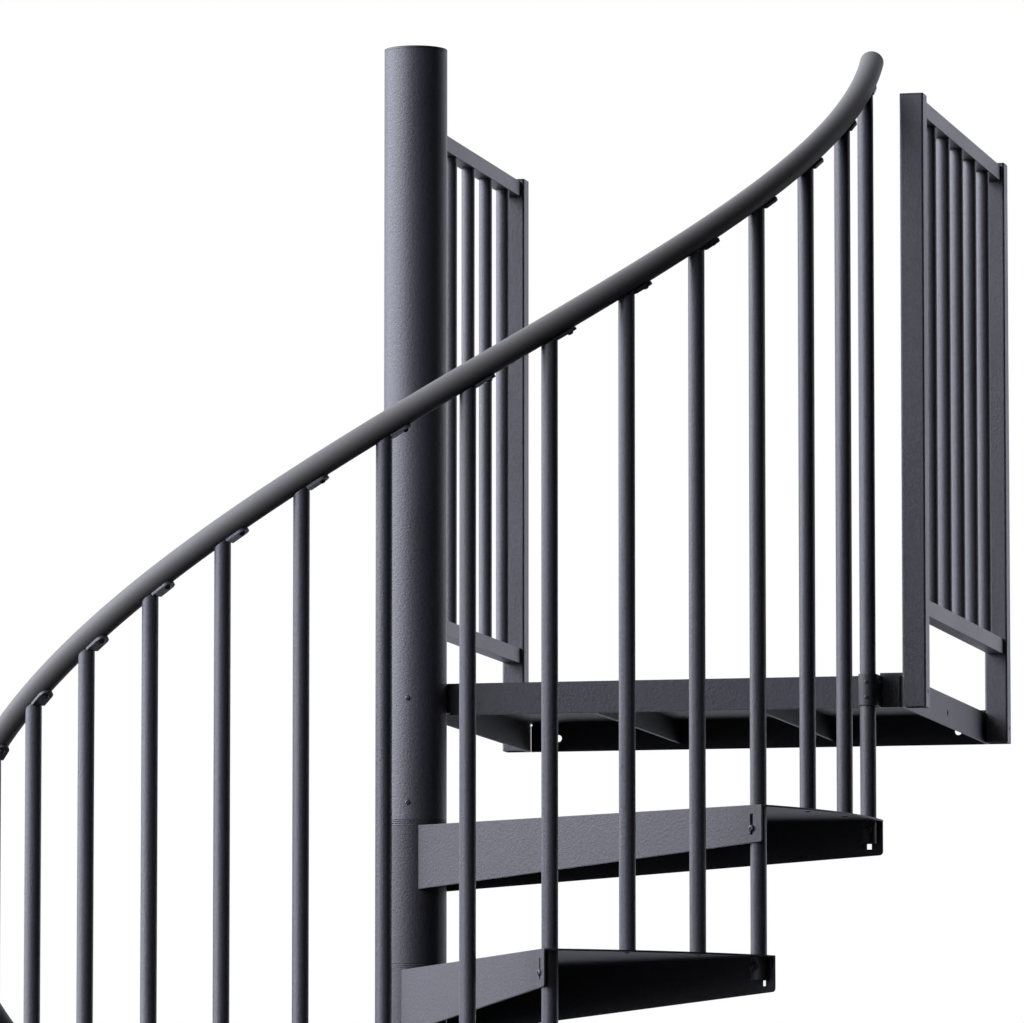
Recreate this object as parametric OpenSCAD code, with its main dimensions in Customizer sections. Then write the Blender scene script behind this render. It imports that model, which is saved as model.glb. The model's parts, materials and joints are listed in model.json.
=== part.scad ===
// Spiral staircase with a square landing, helical handrail and two guard panels.
// Origin: centre of the pole on the underside of the base plate.
// +Z is up. The front edge of the landing runs along +X, the landing lies on +Y.
// The stair climbs counter-clockwise seen from above.

/* [Stair] */
// Height of one step
riser = 230.6; // [180:0.1:260]
// Radius of the outer end of a tread
tread_radius = 762; // [600:1:950]
// Angle turned by one step
step_angle = 29.44; // [22:0.01:34]

/* [Column] */
// Outside diameter of the tread hubs and the upper sleeve
hub_od = 101.6; // [90:0.1:150]
// Outside diameter of the pole inside the hubs
pole_od = 88.9; // [60:0.1:140]
// Wall of the pole
pole_wall = 4; // [2:0.5:8]
// Height of the column above the landing
column_above_landing = 1027; // [900:1:1200]
// Thickness of one spacer ring
ring_t = 3.2; // [2:0.1:6]
// Rings in one stack
rings_in_stack = 3; // [1:1:5]

/* [Treads] */
// Thickness of the tread plate
plate_t = 3; // [2:0.5:6]
// Thickness of the turned down flanges
flange_t = 3; // [2:0.5:6]
// Depth of a flange at the hub
flange_hub_depth = 102; // [70:1:140]
// Depth of a flange at the outer end
flange_tip_depth = 57; // [45:1:90]
// Distance of the outer face of a flange from the pole axis
flange_offset = 35; // [25:0.5:42]

/* [Balusters] */
// Outside diameter of a baluster
baluster_d = 25.4; // [19:0.1:38]
// Wall of a baluster
baluster_wall = 1.6; // [1:0.1:4]
// Inset of the baluster ring from the outer end of the treads
baluster_inset = 21; // [17:0.5:40]
// Length of a long baluster below the plate of the lower tread
baluster_tail = 35; // [15:1:60]
// Width of the flattened top of a baluster
tab_w = 24; // [16:0.5:36]
// Thickness of the flattened top
tab_t = 4.4; // [3:0.1:6]
// Reach of the flattened top up the slope
tab_reach = 36; // [30:1:60]

/* [Handrail] */
// Diameter of the handrail
rail_d = 38; // [32:0.5:50]
// Height of the centre of the handrail above the front of a tread
rail_height = 946.6; // [850:0.1:1050]
// Angle the handrail runs on past the last baluster
rail_past_top = 5.3; // [4:0.1:9]
// Angle the handrail runs on before the first baluster
rail_past_bottom = 5.3; // [4:0.1:9]

/* [Landing] */
// Clear gap from the pole axis to the left edge of the landing
landing_left = 0; // [0:0.5:12]
// Distance of the front face of the landing from the pole axis
landing_front = 15; // [10:0.5:25]
// Reach of the landing past the outer end of the treads
landing_overhang = 30; // [15:1:60]
// Depth of the landing from front to back
landing_d = 805; // [700:1:1000]
// Depth of the landing flanges
landing_flange = 50.8; // [40:0.1:80]
// Depth of the two stiffeners under the landing
joist_depth = 38; // [20:1:46]

/* [Guard panels] */
// Width of a square guard post
post_w = 38.1; // [30:0.1:50]
// Wall of a square guard post
post_wall = 2; // [1.5:0.5:4]
// Radius of the rounded corners of a guard post
post_round = 3.5; // [1:0.5:4]
// Height of the top of the posts above the landing
post_top = 929; // [850:1:1100]
// Height of the top of the top rail above the landing
guard_rail_top = 924; // [840:1:1090]
// Width of a square guard rail
guard_rail_w = 25.4; // [20:0.1:32]
// Height of the underside of the lower guard rail above the landing
guard_rail_low = 98; // [60:1:120]
// Diameter of a guard picket
picket_d = 22.2; // [12:0.1:26]
// Number of pickets in one guard panel
picket_count = 5; // [4:1:7]
// Distance between pickets
picket_pitch = 127; // [90:1:130]

/* [Base] */
// Width of the square base plate
base_w = 305; // [250:1:400]
// Spacing of the anchor holes in the base plate
anchor_spacing = 241; // [200:1:320]
// Diameter of an anchor hole
anchor_d = 14.3; // [10:0.1:20]

/* [Hidden] */
$fn = 96;
tread_count = 13;
// clearance between a baluster and the part it passes
fit = 0.4;
// clearance between the pole and a hub
pole_fit = 0.4;
// clearance between parts that only just touch
touch = 0.1;

stack_h = rings_in_stack * ring_t;
hub_h = riser - stack_h;
base_t = stack_h;
hub_r = hub_od / 2;
pole_r = pole_od / 2;
bore_r = pole_r + pole_fit;
bal_r = baluster_d / 2;
rail_r = rail_d / 2;
ring_radius = tread_radius - baluster_inset;
landing_z = riser * (tread_count + 1);
column_top = landing_z + column_above_landing;
cap_t = 4;

// angle between the edge of a tread and its first baluster
bal_lag = asin((flange_offset - flange_t - fit - bal_r) / ring_radius);
// direction of the rear flange seen from the front flange of the same tread
rear_dir = step_angle - 2 * bal_lag;
// slope of the handrail
slope = atan(riser / (ring_radius * step_angle * PI / 180));

landing_right = tread_radius + landing_overhang;
landing_w = landing_right - landing_left;
landing_back = landing_front + landing_d;
corner_gap = 1.2;
corner_relief_d = 4;
bolt_drop = 28.4;
wall_hole_d = 12;
side_hole_d = 9.5;
wall_hole_in = 51.5;
joist_t = 4;
saddle_t = 4;

post_bottom = landing_z - landing_flange;
// the near posts stand a little proud of the front of the landing
near_post_y = landing_front - 12.5;
far_post_y = landing_back - 1 - post_w;
// the left near post stands clear behind the column
left_near_y = max(near_post_y, hub_r + 2.4);
right_post_x = landing_right;
left_post_x = landing_left - post_w;
picket_offset = 10.5;
post_cap_t = 3;

clamp_t = 2;
clamp_h = 50;
clamp_fit = 0.3;

foot_w = 70;
foot_t = 6;

rail_sections = 5;
rail_sides = 16;
rail_steps = 16;

function edge_dir(i) = -(tread_count + 1 - i) * step_angle;
function bal_dir(i) = edge_dir(i) - bal_lag;
function tread_z(i) = riser * i;

rail_start = bal_dir(1) - rail_past_bottom;
rail_end = bal_dir(tread_count + 1) + rail_past_top;
rail_span = (rail_end - rail_start) / rail_sections;

// height of the centre of the handrail at a direction
function rail_z(a) = tread_z(1) + rail_height + riser * (a - bal_dir(1)) / step_angle;

// ---------- column ----------

module base_plate() {
  color([0.20, 0.20, 0.22])
  difference() {
    translate([-base_w / 2, -base_w / 2, 0])
      cube([base_w, base_w, base_t]);
    for (sx = [-1, 1])
      for (sy = [-1, 1])
        translate([sx * anchor_spacing / 2, sy * anchor_spacing / 2, -1])
          cylinder(d = anchor_d, h = base_t + 2);
  }
}

module center_pole() {
  color([0.20, 0.20, 0.22])
  difference() {
    translate([0, 0, base_t])
      cylinder(r = pole_r, h = column_top - cap_t - base_t);
    translate([0, 0, base_t + pole_wall])
      cylinder(r = pole_r - pole_wall, h = column_top);
  }
}

module ring_stack() {
  groove = 1.5;
  lip = 0.9;
  difference() {
    union() {
      cylinder(r = hub_r - groove, h = stack_h);
      for (k = [0 : rings_in_stack - 1])
        translate([0, 0, k * ring_t + lip / 2])
          cylinder(r = hub_r, h = ring_t - lip);
    }
    translate([0, 0, -1])
      cylinder(r = bore_r, h = stack_h + 2);
  }
}

module spacer_rings() {
  color([0.22, 0.22, 0.24])
  for (i = [1 : tread_count])
    translate([0, 0, tread_z(i)])
      ring_stack();
}

module upper_sleeve() {
  z0 = tread_z(tread_count) + stack_h;
  color([0.20, 0.20, 0.22])
  translate([0, 0, z0])
    difference() {
      cylinder(r = hub_r, h = column_top - cap_t - z0);
      translate([0, 0, -1])
        cylinder(r = bore_r, h = column_top);
    }
}

module pole_cap() {
  color([0.16, 0.16, 0.17])
  translate([0, 0, column_top - cap_t])
    cylinder(r = hub_r, h = cap_t);
}

// ---------- treads ----------

// side view of a flange with its lower outer corner rounded
module flange_outline(tip_x, tip_depth, round_r) {
  root_x = 40;
  corner = [for (t = [0 : 15 : 90])
    [tip_x - round_r + round_r * cos(t), -tip_depth + round_r - round_r * sin(t)]];
  polygon(concat([[root_x, 0], [tip_x, 0]], corner, [[root_x, -flange_hub_depth]]));
}

// plate of one tread in its own frame, front edge along +X
module tread_outline() {
  far = tread_radius * 1.06;
  // the plate ends inside the thickness of the two flanges
  side = flange_offset - flange_t / 2;
  rx = cos(rear_dir);
  ry = sin(rear_dir);
  intersection() {
    circle(r = tread_radius);
    polygon([
      [0, -side],
      [far, -side],
      [far * rx - side * ry, far * ry + side * rx],
      [-side * ry, side * rx]
    ]);
  }
}

module tread_shape(i) {
  tip_x = sqrt(tread_radius * tread_radius - flange_offset * flange_offset) - 0.6;
  bal_x = ring_radius * cos(bal_lag);
  translate([0, 0, tread_z(i)])
    rotate([0, 0, edge_dir(i)])
      difference() {
        union() {
          translate([0, 0, -plate_t])
            linear_extrude(height = plate_t)
              tread_outline();
          translate([0, 0, -hub_h])
            cylinder(r = hub_r, h = hub_h);
          // front flange
          translate([0, -flange_offset + flange_t, 0])
            rotate([90, 0, 0])
              linear_extrude(height = flange_t)
                flange_outline(tip_x, flange_tip_depth, 3);
          // rear flange
          rotate([0, 0, rear_dir])
            translate([0, flange_offset, 0])
              rotate([90, 0, 0])
                linear_extrude(height = flange_t)
                  flange_outline(tip_x, flange_tip_depth - 1, 6);
        }
        // bore for the pole
        translate([0, 0, -hub_h - 1])
          cylinder(r = bore_r, h = hub_h + 2);
        // holes for the front and rear long balusters
        for (a = [-bal_lag, step_angle - bal_lag])
          rotate([0, 0, a])
            translate([ring_radius, 0, -plate_t - 1])
              cylinder(r = bal_r + fit, h = plate_t + 2);
        // upright slot in the front flange
        translate([bal_x - 2.75, -flange_offset - 1, -14 - 32])
          cube([5.5, flange_t + 2, 32]);
        // square hole in the rear flange
        rotate([0, 0, rear_dir])
          translate([bal_x - 6, flange_offset - flange_t - 1, -46.5])
            cube([8, flange_t + 2, 10]);
      }
}

module tread_01() { color([0.22, 0.22, 0.24]) tread_shape(1); }
module tread_02() { color([0.22, 0.22, 0.24]) tread_shape(2); }
module tread_03() { color([0.22, 0.22, 0.24]) tread_shape(3); }
module tread_04() { color([0.22, 0.22, 0.24]) tread_shape(4); }
module tread_05() { color([0.22, 0.22, 0.24]) tread_shape(5); }
module tread_06() { color([0.22, 0.22, 0.24]) tread_shape(6); }
module tread_07() { color([0.22, 0.22, 0.24]) tread_shape(7); }
module tread_08() { color([0.22, 0.22, 0.24]) tread_shape(8); }
module tread_09() { color([0.22, 0.22, 0.24]) tread_shape(9); }
module tread_10() { color([0.22, 0.22, 0.24]) tread_shape(10); }
module tread_11() { color([0.22, 0.22, 0.24]) tread_shape(11); }
module tread_12() { color([0.22, 0.22, 0.24]) tread_shape(12); }
module tread_13() { color([0.22, 0.22, 0.24]) tread_shape(13); }

// ---------- landing ----------

module landing_deck() {
  fz = landing_z - landing_flange;
  notch_r = hub_r + 1.6;
  end_x = landing_left + flange_t + corner_gap;
  end_l = landing_w - 2 * (flange_t + corner_gap);
  lip = 14;
  recess = 6;
  color([0.22, 0.22, 0.24])
  difference() {
    union() {
      translate([landing_left, landing_front, landing_z - plate_t])
        cube([landing_w, landing_d, plate_t]);
      translate([landing_left + recess, landing_front, fz])
        cube([landing_w - 2 * recess, flange_t, landing_flange]);
      translate([end_x, landing_back - flange_t, fz])
        cube([end_l, flange_t, landing_flange]);
      // the side flanges start behind the front flange
      translate([landing_left, landing_front + flange_t, fz])
        cube([flange_t, landing_d - flange_t, landing_flange]);
      translate([landing_right - flange_t, landing_front + flange_t, fz])
        cube([flange_t, landing_d - flange_t, landing_flange]);
      // lip turned in behind each end of the front flange
      for (x = [landing_left, landing_right - lip])
        translate([x, landing_front + flange_t, fz])
          cube([lip, flange_t, landing_flange]);
    }
    // notch round the column, wider below the deck for the bracket
    translate([0, 0, fz - 1])
      cylinder(r = notch_r, h = landing_flange + 2);
    translate([0, 0, fz - 1])
      cylinder(r = hub_r + saddle_t + 1, h = landing_flange - plate_t + 1);
    // holes for the wall bolts
    for (x = [landing_left + wall_hole_in, landing_right - wall_hole_in])
      translate([x, landing_back + 1, landing_z - bolt_drop])
        rotate([90, 0, 0])
          cylinder(d = wall_hole_d, h = flange_t + 2);
    // relief holes at the top of the rear corner gaps
    for (x = [end_x, end_x + end_l])
      translate([x, landing_back + 1, landing_z - plate_t - corner_relief_d / 2])
        rotate([90, 0, 0])
          cylinder(d = corner_relief_d, h = flange_t + 2);
    // hole in the middle of the right flange
    translate([
      landing_right - flange_t - 1,
      (landing_front + landing_back) / 2 + 2,
      landing_z - bolt_drop
    ])
      rotate([0, 90, 0])
        cylinder(d = side_hole_d, h = flange_t + 2);
  }
}

module landing_joists() {
  color([0.22, 0.22, 0.24])
  for (k = [1, 2])
    translate([
      landing_left + landing_w * k / 3 - joist_t / 2,
      landing_front + flange_t,
      landing_z - plate_t - joist_depth
    ])
      cube([joist_t, landing_d - 2 * flange_t, joist_depth]);
}

// saddle round the column with an ear to the front and the left flange
module landing_bracket() {
  h = landing_flange - plate_t - 4;
  ear_l = 62;
  color([0.18, 0.18, 0.20])
  translate([0, 0, landing_z - plate_t - h])
    linear_extrude(height = h)
      union() {
        difference() {
          intersection() {
            circle(r = hub_r + saddle_t);
            translate([landing_left + flange_t, landing_front + flange_t])
              square([hub_od, hub_od]);
          }
          circle(r = hub_r + 0.05);
        }
        translate([hub_r, landing_front + flange_t])
          square([ear_l, saddle_t]);
        translate([landing_left + flange_t, hub_r])
          square([saddle_t, ear_l]);
      }
}

// U shaped clamp that holds the last long baluster to the landing
module baluster_clamp() {
  x = ring_radius * cos(bal_dir(tread_count + 1));
  y = ring_radius * sin(bal_dir(tread_count + 1));
  r_in = bal_r + clamp_fit;
  r_out = r_in + clamp_t;
  leg = landing_front - y;
  color([0.18, 0.18, 0.20])
  translate([x, y, landing_z - landing_flange])
    linear_extrude(height = clamp_h)
      difference() {
        union() {
          circle(r = r_out);
          translate([-r_out, 0])
            square([2 * r_out, leg]);
        }
        circle(r = r_in);
        translate([-r_in, 0])
          square([2 * r_in, leg + 1]);
      }
}

// ---------- guard panels ----------

// outline of a square post with rounded corners
module post_outline() {
  q = post_round;
  union() {
    translate([q, 0])
      square([post_w - 2 * q, post_w]);
    translate([0, q])
      square([post_w, post_w - 2 * q]);
    for (x = [q, post_w - q])
      for (y = [q, post_w - q])
        translate([x, y])
          circle(r = q);
  }
}

module guard_post(x, y) {
  translate([x, y, post_bottom])
    difference() {
      linear_extrude(height = landing_z + post_top - post_cap_t - post_bottom)
        post_outline();
      translate([post_wall, post_wall, -1])
        cube([post_w - 2 * post_wall, post_w - 2 * post_wall, landing_z + post_top]);
    }
}

// small plate on the deck beside the foot of a post
module deck_tab(x, y0, y1) {
  translate([x, y0, landing_z])
    cube([post_w, y1 - y0, 4]);
}

module guard_posts_right() {
  color([0.24, 0.24, 0.26])
  union() {
    guard_post(right_post_x, near_post_y);
    guard_post(right_post_x, far_post_y);
    deck_tab(right_post_x - post_w, landing_front + 1, near_post_y + post_w);
    deck_tab(right_post_x - post_w, far_post_y, far_post_y + post_w);
  }
}

module guard_posts_left() {
  color([0.24, 0.24, 0.26])
  union() {
    guard_post(left_post_x, left_near_y);
    guard_post(left_post_x, far_post_y);
    deck_tab(left_post_x + post_w, left_near_y + 1, left_near_y + post_w);
    deck_tab(left_post_x + post_w, far_post_y, far_post_y + post_w);
  }
}

module guard_panel(x, y0, y1) {
  inset = (post_w - guard_rail_w) / 2;
  low_z = landing_z + guard_rail_low;
  top_z = landing_z + guard_rail_top - guard_rail_w;
  mid_y = (y0 + y1) / 2 + picket_offset;
  union() {
    translate([x + inset, y0, low_z])
      cube([guard_rail_w, y1 - y0, guard_rail_w]);
    translate([x + inset, y0, top_z])
      cube([guard_rail_w, y1 - y0, guard_rail_w]);
    for (k = [0 : picket_count - 1])
      translate([
        x + post_w / 2,
        mid_y + (k - (picket_count - 1) / 2) * picket_pitch,
        low_z + guard_rail_w / 2
      ])
        cylinder(d = picket_d, h = top_z - low_z);
  }
}

module guard_panel_right() {
  color([0.24, 0.24, 0.26])
  guard_panel(right_post_x, near_post_y + post_w, far_post_y);
}

module guard_panel_left() {
  color([0.24, 0.24, 0.26])
  guard_panel(left_post_x, left_near_y + post_w, far_post_y);
}

module post_caps() {
  z = landing_z + post_top - post_cap_t;
  color([0.08, 0.08, 0.09])
  union() {
    translate([right_post_x, near_post_y, z])
      linear_extrude(height = post_cap_t)
        post_outline();
    translate([right_post_x, far_post_y, z])
      linear_extrude(height = post_cap_t)
        post_outline();
    translate([left_post_x, left_near_y, z])
      linear_extrude(height = post_cap_t)
        post_outline();
    translate([left_post_x, far_post_y, z])
      linear_extrude(height = post_cap_t)
        post_outline();
  }
}

// ---------- balusters ----------

// one baluster from z0 up to the underside of the handrail at direction a
module baluster(a, z0) {
  zc = rail_z(a);
  drop = rail_r + touch;
  rotate([0, 0, a])
    translate([ring_radius, 0, 0]) {
      difference() {
        translate([0, 0, z0])
          cylinder(r = bal_r, h = zc - z0);
        // cut along the underside of the handrail
        translate([0, 0, zc])
          rotate([slope, 0, 0])
            translate([-60, -90, -drop])
              cube([120, 180, 120]);
        // bore of the tube
        translate([0, 0, z0 - 1])
          cylinder(r = bal_r - baluster_wall, h = zc - z0 - rail_r - 20);
      }
      // flattened top that runs up the slope under the handrail
      translate([0, 0, zc])
        rotate([slope, 0, 0])
          translate([0, 0, -drop - tab_t])
            linear_extrude(height = tab_t)
              union() {
                translate([-tab_w / 2, 0])
                  square([tab_w, tab_reach - tab_w / 2]);
                translate([0, tab_reach - tab_w / 2])
                  circle(d = tab_w);
              }
    }
}

// the balusters that stand on tread i
module baluster_set(i) {
  lower = i == 1 ? foot_t : tread_z(i - 1) - plate_t - baluster_tail;
  baluster(bal_dir(i), lower);
  if (i <= tread_count)
    for (k = [1, 2])
      baluster(bal_dir(i) + k * step_angle / 3, tread_z(i));
}

module baluster_pair(i) {
  union() {
    baluster_set(i);
    baluster_set(i + 1);
  }
}

module balusters_01_02() { color([0.22, 0.22, 0.24]) baluster_pair(1); }
module balusters_03_04() { color([0.22, 0.22, 0.24]) baluster_pair(3); }
module balusters_05_06() { color([0.22, 0.22, 0.24]) baluster_pair(5); }
module balusters_07_08() { color([0.22, 0.22, 0.24]) baluster_pair(7); }
module balusters_09_10() { color([0.22, 0.22, 0.24]) baluster_pair(9); }
module balusters_11_12() { color([0.22, 0.22, 0.24]) baluster_pair(11); }
module balusters_13_14() { color([0.22, 0.22, 0.24]) baluster_pair(13); }

module floor_foot() {
  color([0.20, 0.20, 0.22])
  rotate([0, 0, bal_dir(1)])
    translate([ring_radius, 0, 0])
      difference() {
        translate([-foot_w / 2, -foot_w / 2, 0])
          cube([foot_w, foot_w, foot_t]);
        for (sx = [-1, 1])
          translate([sx * 25, 0, -1])
            cylinder(d = 8, h = foot_t + 2);
      }
}

// ---------- handrail ----------

// one point of the handrail surface: direction a, angle b round the section
function rail_point(a, b) =
  let (r = ring_radius + rail_r * cos(b), u = rail_r * sin(b))
  [
    r * cos(a) + u * sin(slope) * sin(a),
    r * sin(a) - u * sin(slope) * cos(a),
    rail_z(a) + u * cos(slope)
  ];

module rail_section(a0, a1) {
  n = rail_sides;
  m = rail_steps;
  pts = [
    for (j = [0 : m])
      for (k = [0 : n - 1])
        rail_point(a0 + (a1 - a0) * j / m, 360 * k / n)
  ];
  sides = [
    for (j = [0 : m - 1])
      for (k = [0 : n - 1])
        [j * n + k, (j + 1) * n + k, (j + 1) * n + (k + 1) % n, j * n + (k + 1) % n]
  ];
  first = [for (k = [0 : n - 1]) k];
  last = [for (k = [n - 1 : -1 : 0]) m * n + k];
  polyhedron(points = pts, faces = concat(sides, [first], [last]), convexity = 10);
}

module handrail_part(s) {
  color([0.10, 0.10, 0.11])
  rail_section(rail_start + (s - 1) * rail_span, rail_start + s * rail_span);
}

module handrail_1() { handrail_part(1); }
module handrail_2() { handrail_part(2); }
module handrail_3() { handrail_part(3); }
module handrail_4() { handrail_part(4); }
module handrail_5() { handrail_part(5); }

// round plug on each end of the handrail
module handrail_end_caps() {
  color([0.12, 0.12, 0.13])
  union() {
    rotate([0, 0, rail_end])
      translate([ring_radius, 0, rail_z(rail_end)])
        rotate([slope - 90, 0, 0])
          cylinder(r = rail_r, h = 4);
    rotate([0, 0, rail_start])
      translate([ring_radius, 0, rail_z(rail_start)])
        rotate([slope - 90, 0, 0])
          translate([0, 0, -4])
            cylinder(r = rail_r, h = 4);
  }
}

// ---------- assembly ----------

base_plate();
center_pole();
spacer_rings();
upper_sleeve();
pole_cap();
tread_01();
tread_02();
tread_03();
tread_04();
tread_05();
tread_06();
tread_07();
tread_08();
tread_09();
tread_10();
tread_11();
tread_12();
tread_13();
landing_deck();
landing_joists();
landing_bracket();
baluster_clamp();
guard_posts_left();
guard_posts_right();
guard_panel_left();
guard_panel_right();
post_caps();
floor_foot();
balusters_01_02();
balusters_03_04();
balusters_05_06();
balusters_07_08();
balusters_09_10();
balusters_11_12();
balusters_13_14();
handrail_1();
handrail_2();
handrail_3();
handrail_4();
handrail_5();
handrail_end_caps();
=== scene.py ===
import json
import math

import bmesh
import bpy
from mathutils import Matrix, Vector


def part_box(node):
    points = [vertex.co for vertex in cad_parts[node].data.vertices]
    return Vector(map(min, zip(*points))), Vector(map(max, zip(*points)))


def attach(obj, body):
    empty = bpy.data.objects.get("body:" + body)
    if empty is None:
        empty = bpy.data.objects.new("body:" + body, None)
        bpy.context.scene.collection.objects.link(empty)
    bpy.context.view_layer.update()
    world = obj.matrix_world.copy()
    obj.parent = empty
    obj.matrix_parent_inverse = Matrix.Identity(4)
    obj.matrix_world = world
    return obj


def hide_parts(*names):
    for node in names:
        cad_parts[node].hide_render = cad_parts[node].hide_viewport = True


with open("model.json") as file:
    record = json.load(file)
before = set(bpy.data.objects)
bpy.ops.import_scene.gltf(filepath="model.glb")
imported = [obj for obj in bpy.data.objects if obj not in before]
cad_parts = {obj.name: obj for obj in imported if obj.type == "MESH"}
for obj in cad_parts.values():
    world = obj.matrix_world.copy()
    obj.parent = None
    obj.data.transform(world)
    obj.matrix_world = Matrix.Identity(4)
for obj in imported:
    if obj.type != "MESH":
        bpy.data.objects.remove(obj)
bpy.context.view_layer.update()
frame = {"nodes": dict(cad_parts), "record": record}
nodes = frame["nodes"]

# ---------------------------------------------------------------- sizes, in metres and degrees
RISER = 0.2306
STEP = 29.44            # turn from one tread to the next
TREADS = 13
PER_TREAD = 3           # balusters to each tread
RING = 0.741            # radius of the baluster ring
HUB_R = 0.0508
BAL_R = 0.0127
RAIL_R = 0.019
RAIL_H = 0.9466         # rail axis above the first tread at the first baluster
PLATE = 0.003
OFFSET = 0.035          # outer face of a tread flange from the line through the pole axis
GAP = 0.0004            # between a baluster and the flange that it is bolted to
POST_W = 0.0381
PAST = 5.3              # how far the rail runs on past its end balusters
LAND_Z = RISER * (TREADS + 1)
LAG = math.degrees(math.asin((OFFSET - PLATE - GAP - BAL_R) / RING))
SLOPE = math.atan(RISER / (RING * math.radians(STEP)))

RAIL_SKIN = RAIL_R - 0.0001     # keeps the drawn tube inside the CAD box
RAIL_SIDES = 40
RAIL_RINGS = 301
UP = Vector((0, 0, 1))
SMOOTH = math.radians(35)       # faces that meet at less than this are shaded as one


def edge_dir(i):
    """Direction of the line that the front flange of tread i runs beside."""
    return -(TREADS + 1 - i) * STEP


def bal_dir(i):
    """Direction of the first baluster of tread i, or of the landing after the last tread."""
    return edge_dir(i) - LAG


def radial(deg):
    """Unit vector away from the pole axis."""
    return Vector((math.cos(math.radians(deg)), math.sin(math.radians(deg)), 0))


def tangent(deg):
    """Unit vector square to that, the way the stair climbs."""
    return Vector((-math.sin(math.radians(deg)), math.cos(math.radians(deg)), 0))


def rail_centre(deg):
    """Point on the axis of the handrail, which climbs as a helix."""
    climb = RISER * (deg - bal_dir(1)) / STEP
    return radial(deg) * RING + UP * (RISER + RAIL_H + climb)


def rail_along(deg):
    return tangent(deg) * math.cos(SLOPE) + UP * math.sin(SLOPE)


def rail_down(deg):
    return tangent(deg) * math.sin(SLOPE) - UP * math.cos(SLOPE)


RAIL_START = bal_dir(1) - PAST
RAIL_END = bal_dir(TREADS + 1) + PAST


# ---------------------------------------------------------------- mesh helpers
def new_object(name, bm, material):
    mesh = bpy.data.meshes.new(name)
    bm.normal_update()
    bm.to_mesh(mesh)
    bm.free()
    obj = bpy.data.objects.new(name, mesh)
    bpy.context.scene.collection.objects.link(obj)
    mesh.materials.append(material)
    mesh.shade_smooth()
    mesh.set_sharp_from_angle(angle=SMOOTH)
    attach(obj, "root")
    return obj


def loft(bm, rings):
    """Skins a list of rings, each a list of points with the same count, and caps both ends."""
    made = [[bm.verts.new(p) for p in ring] for ring in rings]
    count = len(rings[0])
    for lower, upper in zip(made, made[1:]):
        for k in range(count):
            after = (k + 1) % count
            bm.faces.new((lower[k], lower[after], upper[after], upper[k]))
    bm.faces.new(list(reversed(made[0])))
    bm.faces.new(made[-1])


def lathe(bm, place, profile, sides):
    """Turns (radius, height) pairs about the local Z axis of a matrix."""
    turns = [2 * math.pi * k / sides for k in range(sides)]
    loft(bm, [[place @ Vector((r * math.cos(t), r * math.sin(t), z)) for t in turns]
              for r, z in profile])


def point_at(pos, direction):
    """Matrix at a position, with its Z axis along a direction."""
    quat = Vector(direction).to_track_quat("Z", "Y")
    return Matrix.Translation(pos) @ quat.to_matrix().to_4x4()


def button_screw(bm, place, r, h):
    """Domed head with a shallow round socket."""
    lathe(bm, place, [
        (r, 0), (r, h * 0.25), (r * 0.93, h * 0.55), (r * 0.74, h * 0.85), (r * 0.5, h),
        (r * 0.42, h), (r * 0.40, h * 0.45), (r * 0.05, h * 0.40)], 18)


def hex_nut(bm, place, r, h):
    """Washer, nut and the end of the bolt."""
    washer = h * 0.26
    lathe(bm, place, [(r * 1.25, 0), (r * 1.25, h * 0.22), (r * 1.2, washer)], 24)
    lathe(bm, place @ Matrix.Translation((0, 0, washer)),
          [(r * 0.96, 0), (r, h * 0.1), (r, h * 0.85), (r * 0.92, h)], 6)
    lathe(bm, place @ Matrix.Translation((0, 0, h * 1.2)),
          [(r * 0.5, 0), (r * 0.5, h * 0.4), (r * 0.4, h * 0.5)], 16)


# ---------------------------------------------------------------- shader helpers
def set_inputs(tree, node, values):
    """Links a value that is an output of another node, and sets any other."""
    for name, value in values.items():
        if isinstance(value, bpy.types.NodeSocket):
            tree.links.new(value, node.inputs[name])
        else:
            node.inputs[name].default_value = value


def add_node(tree, kind, values=None, **settings):
    node = tree.nodes.new(kind)
    for name, value in settings.items():
        setattr(node, name, value)
    set_inputs(tree, node, values or {})
    return node


def noise(tree, where, scale, detail, roughness=0.5):
    values = {"Vector": where, "Scale": scale, "Detail": detail, "Roughness": roughness}
    return add_node(tree, "ShaderNodeTexNoise", values).outputs["Fac"]


def arithmetic(tree, operation, *values):
    made = add_node(tree, "ShaderNodeMath", dict(enumerate(values)), operation=operation)
    return made.outputs[0]


def map_range(tree, values, **settings):
    return add_node(tree, "ShaderNodeMapRange", values, **settings).outputs["Result"]


def camera_switch(tree, unseen, seen):
    """A shader that the camera sees one way and all other rays another way."""
    is_seen = add_node(tree, "ShaderNodeLightPath").outputs["Is Camera Ray"]
    return mix_shaders(tree, is_seen, unseen, seen)


def mix_shaders(tree, share, first, second):
    values = {0: share, 1: first.outputs[0], 2: second.outputs[0]}
    return add_node(tree, "ShaderNodeMixShader", values)


# ---------------------------------------------------------------- materials
def orange_peel(tree, peel, fine, depth, edge):
    """Normal of a bumpy coat over edges that are softened by a radius."""
    bevel = add_node(tree, "ShaderNodeBevel", {"Radius": edge}, samples=4)
    height = arithmetic(tree, "MULTIPLY_ADD", fine, 0.45, peel)
    values = {"Strength": 1.0, "Distance": depth, "Height": height,
              "Normal": bevel.outputs["Normal"]}
    return add_node(tree, "ShaderNodeBump", values).outputs["Normal"]


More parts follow.
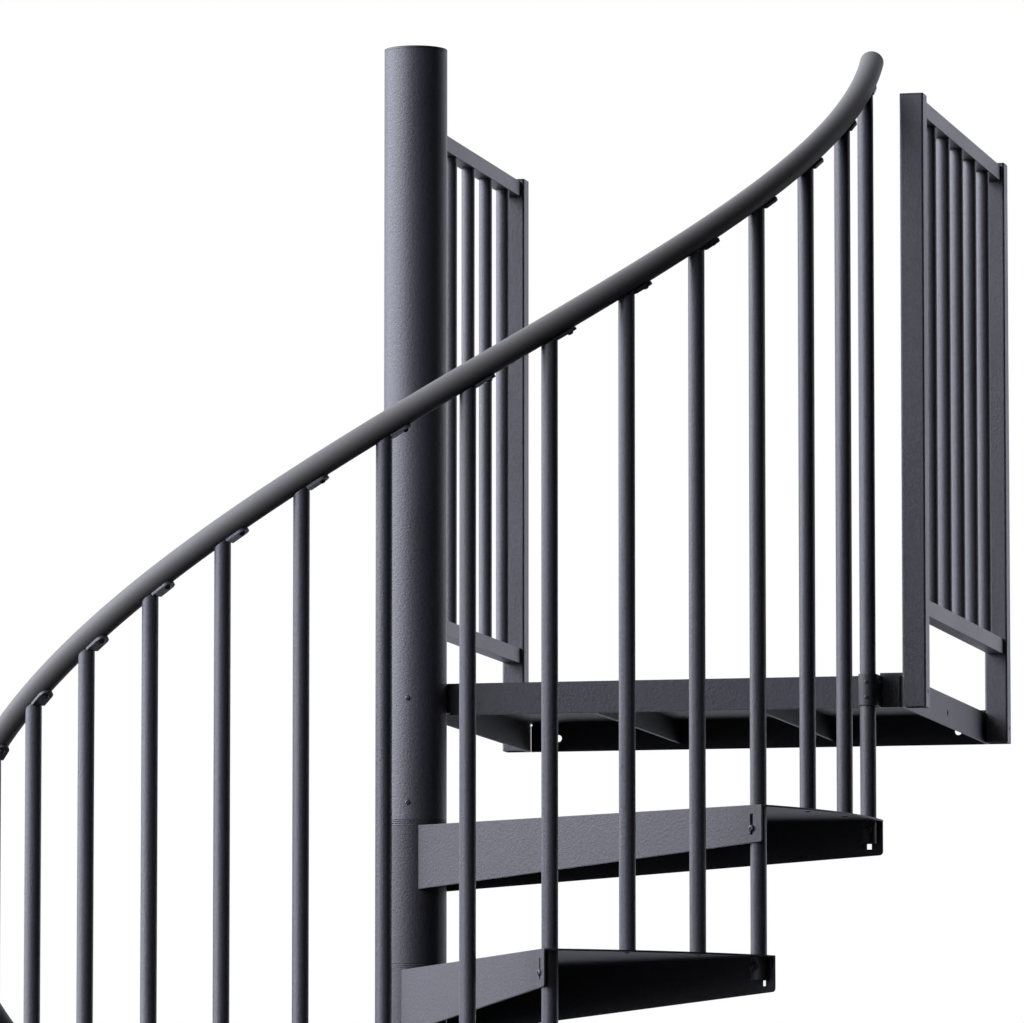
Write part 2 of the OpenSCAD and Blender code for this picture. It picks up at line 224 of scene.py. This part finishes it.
def mottled(tree, peel, cloud, colour, spread):
    """The colour, a little darker and lighter from place to place."""
    cloud_part = arithmetic(tree, "MULTIPLY", cloud, 0.4)
    place = arithmetic(tree, "MULTIPLY_ADD", peel, 0.6, cloud_part)
    tone = add_node(tree, "ShaderNodeValToRGB", {"Fac": place})
    dark, light = tone.color_ramp.elements
    dark.position, light.position = 0.3, 0.72
    dark.color = [c * (1 - spread) for c in colour] + [1]
    light.color = [c * (1 + spread) for c in colour] + [1]
    return tone.outputs["Color"]


def coated_metal(name, colour, rough, grain, bump, edge=0.0012, spread=0.18, specular=0.5):
    """Powder coat: fine orange peel, slight change of tone, softened edges."""
    mat = bpy.data.materials.new(name)
    mat.use_nodes = True
    tree = mat.node_tree
    where = add_node(tree, "ShaderNodeTexCoord").outputs["Object"]
    peel = noise(tree, where, grain, 4.0, 0.6)
    fine = noise(tree, where, grain * 3.7, 2.0)
    cloud = noise(tree, where, 5.0, 3.0)
    wear = {"Value": cloud, "To Min": rough - 0.05, "To Max": rough + 0.07}
    set_inputs(tree, tree.nodes["Principled BSDF"], {
        "Base Color": mottled(tree, peel, cloud, colour, spread),
        "Metallic": 0.0,
        "Roughness": map_range(tree, wear),
        "IOR": 1.5,
        "Specular IOR Level": specular,
        "Normal": orange_peel(tree, peel, fine, bump, edge),
    })
    return mat


STEEL = coated_metal("graphite_powder_coat", (0.042, 0.042, 0.050), 0.46, 240, 0.0006, spread=0.3)
# The flat parts take a darker copy of the same coat: painted shade, standing in for the shade
# that falls on them.
SHADED_FLAT = coated_metal("graphite_powder_coat_painted_shade", (0.020, 0.020, 0.024), 0.54, 240, 0.0006,
                    edge=0.002, spread=0.3)
GUARD = coated_metal("guard_powder_coat", (0.056, 0.0555, 0.062), 0.48, 240, 0.0006, spread=0.3)
RAIL = coated_metal("handrail_satin", (0.100, 0.097, 0.093), 0.58, 700, 0.00015, specular=0.2)
CAPS = coated_metal("black_caps", (0.030, 0.030, 0.032), 0.45, 500, 0.0002)
SCREW = coated_metal("black_screws", (0.026, 0.026, 0.030), 0.34, 900, 0.00005, edge=0.0004)
# Near-black and almost without gloss: painted shade of the bolt holes in the guard posts, laid on
# discs in place of real holes.
HOLE_SHADE = coated_metal("painted_bolt_hole_shade", (0.004, 0.004, 0.004), 0.85, 900, 0.00005,
                    edge=0.0004, specular=0.02)

SLOTS = {"powder_coated_steel": STEEL, "guard_steel": GUARD,
         "handrail_black": RAIL, "black_caps": CAPS}
# Treads, landing, base and clamp get that darker copy, which is painted shade, not a different
# finish.
SHADED_FLAT_PARTS = ("tread_", "landing_", "base_", "baluster_clamp")
for part in frame["record"]["subparts"]:
    node = nodes[part["node"]]
    node.data.materials.clear()
    gets_shade = part["node"].startswith(SHADED_FLAT_PARTS)
    node.data.materials.append(SHADED_FLAT if gets_shade else SLOTS[part["material_slot"]])


# ---------------------------------------------------------------- handrail
def rail_ring(deg):
    """Points round the tube, square to its slope."""
    centre, out, down = rail_centre(deg), radial(deg), rail_down(deg)
    turns = [2 * math.pi * k / RAIL_SIDES for k in range(RAIL_SIDES)]
    return [centre + (out * math.cos(t) - down * math.sin(t)) * RAIL_SKIN for t in turns]


def handrail_tube():
    """One smooth helix in place of the CAD's lengths of tube."""
    bm = bmesh.new()
    stretch = (RAIL_END - RAIL_START) / (RAIL_RINGS - 1)
    loft(bm, [rail_ring(RAIL_START + stretch * j) for j in range(RAIL_RINGS)])
    return new_object("handrail_tube", bm, RAIL)


def handrail_plugs():
    """Domed plugs with a groove, in both ends of the tube."""
    bm = bmesh.new()
    r = RAIL_SKIN
    dome = [(r, 0), (r * 0.985, 0.0003), (r * 0.985, 0.0007), (r, 0.0010), (r * 0.985, 0.0018),
            (r * 0.93, 0.0027), (r * 0.8, 0.0034), (r * 0.55, 0.0038), (r * 0.2, 0.0040)]
    for deg, way in ((RAIL_END, 1), (RAIL_START, -1)):
        lathe(bm, point_at(rail_centre(deg), rail_along(deg) * way), dome, RAIL_SIDES)
    return new_object("handrail_plugs", bm, CAPS)


handrail = handrail_tube()
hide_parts("handrail_1", "handrail_2", "handrail_3", "handrail_4", "handrail_5")
plugs = handrail_plugs()
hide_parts("handrail_end_caps")

# ---------------------------------------------------------------- fasteners
BOLT_X = RING * math.cos(math.radians(LAG))     # bolts of a long baluster, along the tread's edge
FRONT_BOLT_DROP = 0.036         # below the top of the tread
REAR_BOLT_DROP = 0.017
HEAD_SUNK = 0.0004              # so that no head floats off a curved face
WASHER_SUNK = 0.002             # the same for the washer, which is wider
HEAD_ON_WASHER = 0.0012         # start of the head above the baluster's skin
RAIL_SCREW_AHEAD = 0.0245       # up the rail from the baluster, in the bracket's foot
RAIL_SCREW_DROP = 0.0236        # face of that foot below the rail axis
COLUMN_SCREW_DROPS = (0.027, 0.194)     # below the top of the landing
BOLT_HOLE_DROP = 0.026               # bolt holes of the guard posts, shown as discs of painted shade, below the top of the landing
HOLE_DISC_SUNK = 0.00073             # how deep the foot of such a disc is in the post
ANCHOR_AT = 0.1205              # bolts of the base plate from the pole axis
FOOT_SCREW_AT = 0.025           # screws of the foot each side of the baluster
FOOT_TOP = 0.006
CLAMP_SCREW_AT = 0.012          # from the middle of the clamp, and from its rear edge


def rail_screws():
    """One under the rail at the bracket of each baluster."""
    bm = bmesh.new()
    directions = [bal_dir(i) + k * STEP / PER_TREAD
                  for i in range(1, TREADS + 1) for k in range(PER_TREAD)]
    for deg in directions + [bal_dir(TREADS + 1)]:
        down = rail_down(deg)
        pos = rail_centre(deg) + rail_along(deg) * RAIL_SCREW_AHEAD + down * RAIL_SCREW_DROP
        button_screw(bm, point_at(pos, down), r=0.0048, h=0.003)
    return new_object("rail_screws", bm, SCREW)


def front_bolt(bm, i):
    """Head on the front flange of tread i."""
    out = -tangent(edge_dir(i))
    pos = radial(edge_dir(i)) * BOLT_X + out * OFFSET + UP * (RISER * i - FRONT_BOLT_DROP)
    button_screw(bm, point_at(pos, out), r=0.0056, h=0.0032)


def rear_bolt(bm, i):
    """Nut on the rear flange of tread i, and washer and head across the long baluster from it."""
    deg = edge_dir(i) + STEP - 2 * LAG
    out = tangent(deg)
    middle = radial(deg) * BOLT_X + UP * (RISER * i - REAR_BOLT_DROP)
    hex_nut(bm, point_at(middle + out * OFFSET, out), r=0.0052, h=0.0042)
    inner = middle + out * (OFFSET - PLATE - GAP - 2 * BAL_R)
    lathe(bm, point_at(inner + out * WASHER_SUNK, -out),
          [(0.0078, 0), (0.0078, 0.0028), (0.0070, 0.0034)], 24)
    button_screw(bm, point_at(inner - out * HEAD_ON_WASHER, -out), r=0.0052, h=0.0034)


def short_baluster_screws(bm, i):
    """Heads under tread i, one to each baluster that stands on it."""
    for k in range(1, PER_TREAD):
        pos = radial(bal_dir(i) + k * STEP / PER_TREAD) * RING + UP * (RISER * i - PLATE)
        button_screw(bm, point_at(pos, -UP), r=0.0055, h=0.0018)


def tread_screws():
    bm = bmesh.new()
    for i in range(1, TREADS + 1):
        front_bolt(bm, i)
        rear_bolt(bm, i)
        short_baluster_screws(bm, i)
    return new_object("tread_screws", bm, SCREW)


def column_screws():
    """Two small heads in the front of the column, below the landing."""
    bm = bmesh.new()
    for drop in COLUMN_SCREW_DROPS:
        pos = Vector((0, -HUB_R + HEAD_SUNK, LAND_Z - drop))
        button_screw(bm, point_at(pos, (0, -1, 0)), r=0.0042, h=0.0022)
    return new_object("column_screws", bm, SCREW)


def guard_bolt_hole_shade():
    """Near-black discs over the post bolts, painted shade of the bolt holes, a hair proud of the
    outer faces.
    """
    bm = bmesh.new()
    profile = [(0.0048, 0), (0.0048, 0.0006), (0.0040, 0.00072), (0.0015, 0.00078)]
    for part, side in (("guard_posts_right", 1), ("guard_posts_left", -1)):
        low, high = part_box(part)
        face = high.x if side > 0 else low.x
        for y in (low.y + POST_W / 2, high.y - POST_W / 2):
            pos = Vector((face - side * HOLE_DISC_SUNK, y, LAND_Z - BOLT_HOLE_DROP))
            lathe(bm, point_at(pos, (side, 0, 0)), profile, 20)
    return new_object("guard_bolt_hole_shade", bm, HOLE_SHADE)


def anchor_nuts():
    """Nuts of the base plate, and the screws of the foot under the first baluster."""
    bm = bmesh.new()
    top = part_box("base_plate")[1].z
    for x in (-ANCHOR_AT, ANCHOR_AT):
        for y in (-ANCHOR_AT, ANCHOR_AT):
            hex_nut(bm, point_at(Vector((x, y, top)), UP), r=0.0125, h=0.011)
    for away in (-FOOT_SCREW_AT, FOOT_SCREW_AT):
        pos = radial(bal_dir(1)) * (RING + away) + UP * FOOT_TOP
        button_screw(bm, point_at(pos, UP), r=0.0062, h=0.0034)
    return new_object("anchor_nuts", bm, SCREW)


def clamp_screws():
    """Screws in the front and the sides of the clamp at the landing."""
    bm = bmesh.new()
    low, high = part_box("baluster_clamp")
    mid = (low + high) / 2
    for z in (mid.z - CLAMP_SCREW_AT, mid.z + CLAMP_SCREW_AT):
        front = Vector((mid.x, low.y + HEAD_SUNK, z))
        button_screw(bm, point_at(front, (0, -1, 0)), r=0.0032, h=0.0016)
        for side, x in ((-1, low.x), (1, high.x)):
            pos = Vector((x, high.y - CLAMP_SCREW_AT, z))
            button_screw(bm, point_at(pos, (side, 0, 0)), r=0.0042, h=0.0024)
    return new_object("clamp_screws", bm, SCREW)


for make in (rail_screws, tread_screws, column_screws, guard_bolt_hole_shade, anchor_nuts, clamp_screws):
    make()

# ---------------------------------------------------------------- floor
FLOOR_R = 6.5
FLOOR_DROP = 0.0006     # keeps the floor clear of the base plate
FADE_FROM, FADE_TO = 1.6, 6.0


def pale_floor():
    """Pale to the camera, dark to other rays, and fading out to nothing at the rim."""
    mat = bpy.data.materials.new("pale_floor")
    mat.use_nodes = True
    tree = mat.node_tree
    bsdf = tree.nodes["Principled BSDF"]
    set_inputs(tree, bsdf, {"Base Color": (0.62, 0.62, 0.63, 1), "Roughness": 0.75})
    dim = add_node(tree, "ShaderNodeBsdfDiffuse", {"Color": (0.05, 0.05, 0.05, 1)})
    clear = add_node(tree, "ShaderNodeBsdfTransparent")
    where = add_node(tree, "ShaderNodeTexCoord").outputs["Object"]
    length = add_node(tree, "ShaderNodeVectorMath", {0: where}, operation="LENGTH")
    solid = map_range(tree, {"Value": length.outputs["Value"], "From Min": FADE_FROM,
                             "From Max": FADE_TO, "To Min": 1.0, "To Max": 0.0})
    ends = mix_shaders(tree, solid, clear, camera_switch(tree, dim, bsdf))
    set_inputs(tree, tree.nodes["Material Output"], {"Surface": ends.outputs[0]})
    return mat


bm = bmesh.new()
bmesh.ops.create_circle(bm, cap_ends=True, radius=FLOOR_R, segments=96)
mesh = bpy.data.meshes.new("floor")
bm.to_mesh(mesh)
bm.free()
mesh.materials.append(pale_floor())
floor = bpy.data.objects.new("floor", mesh)
floor.location = (0, 0, -FLOOR_DROP)
bpy.context.scene.collection.objects.link(floor)

# ---------------------------------------------------------------- camera
VIEW_AZ = 13.7          # side that the photo is taken from, and zero for the lights
PAN = 0.692             # the camera aims this far to the right of the column
LOOK_UP = 5.979
cam_data = bpy.data.cameras.new("camera")
cam_data.sensor_width = 36.0
cam_data.lens = 283.3
cam_data.clip_start = 0.5
cam_data.clip_end = 100.0
cam = bpy.data.objects.new("camera", cam_data)
bpy.context.scene.collection.objects.link(cam)
cam.location = (3.050, -12.513, 2.157)
cam.rotation_euler = (math.radians(90 + LOOK_UP), 0, math.radians(VIEW_AZ - PAN))
bpy.context.scene.camera = cam
bpy.context.scene.view_settings.view_transform = "Standard"

# ---------------------------------------------------------------- light
# azimuth (0 is behind the object, -90 at the left), elevation, cosine of the angle from the
# middle where the patch starts, cosine where it is full, and power
SOFT_LIGHTS = (
    (0, 5, 0.25, 0.85, 1.0),            # broad white wall behind
    (-72, 22, 0.84, 0.985, 7.8),        # key, left and a little behind
    (-114, 22, 0.84, 0.985, 9.6),       # key, left and a little in front
    (-152, 10, 0.86, 1.0, 0.8),         # fill beside the camera
    (-40, 62, 0.55, 1.0, 0.9),          # from above
    (45, 8, 0.80, 0.99, 0.6),           # right and behind
)
TINT = (0.95, 0.97, 1.11)


def soft_light(tree, where, az, el, low, high, power):
    """Brightness of a soft patch of sky round a direction."""
    a, e = math.radians(az - VIEW_AZ), math.radians(el)
    middle = (math.sin(a) * math.cos(e), math.cos(a) * math.cos(e), math.sin(e))
    dot = add_node(tree, "ShaderNodeVectorMath", {0: where, 1: middle}, operation="DOT_PRODUCT")
    values = {"Value": dot.outputs["Value"], "From Min": low, "From Max": high,
              "To Min": 0.0, "To Max": power}
    return map_range(tree, values, interpolation_type="SMOOTHSTEP")


def studio():
    """Soft lights that only the object sees, in front of a plain white background."""
    world = bpy.data.worlds.new("studio")
    world.use_nodes = True
    tree = world.node_tree
    tree.nodes.clear()
    where = add_node(tree, "ShaderNodeTexCoord").outputs["Generated"]
    patches = [soft_light(tree, where, *light) for light in SOFT_LIGHTS]
    total = patches[0]
    for patch in patches[1:]:
        total = arithmetic(tree, "ADD", total, patch)
    tinted = add_node(tree, "ShaderNodeVectorMath", {0: TINT, "Scale": total}, operation="SCALE")
    lit = add_node(tree, "ShaderNodeBackground", {"Color": tinted.outputs["Vector"]})
    white = add_node(tree, "ShaderNodeBackground", {"Color": (1, 1, 1, 1)})
    sky = camera_switch(tree, lit, white)
    add_node(tree, "ShaderNodeOutputWorld", {"Surface": sky.outputs[0]})
    return world


bpy.context.scene.world = studio()
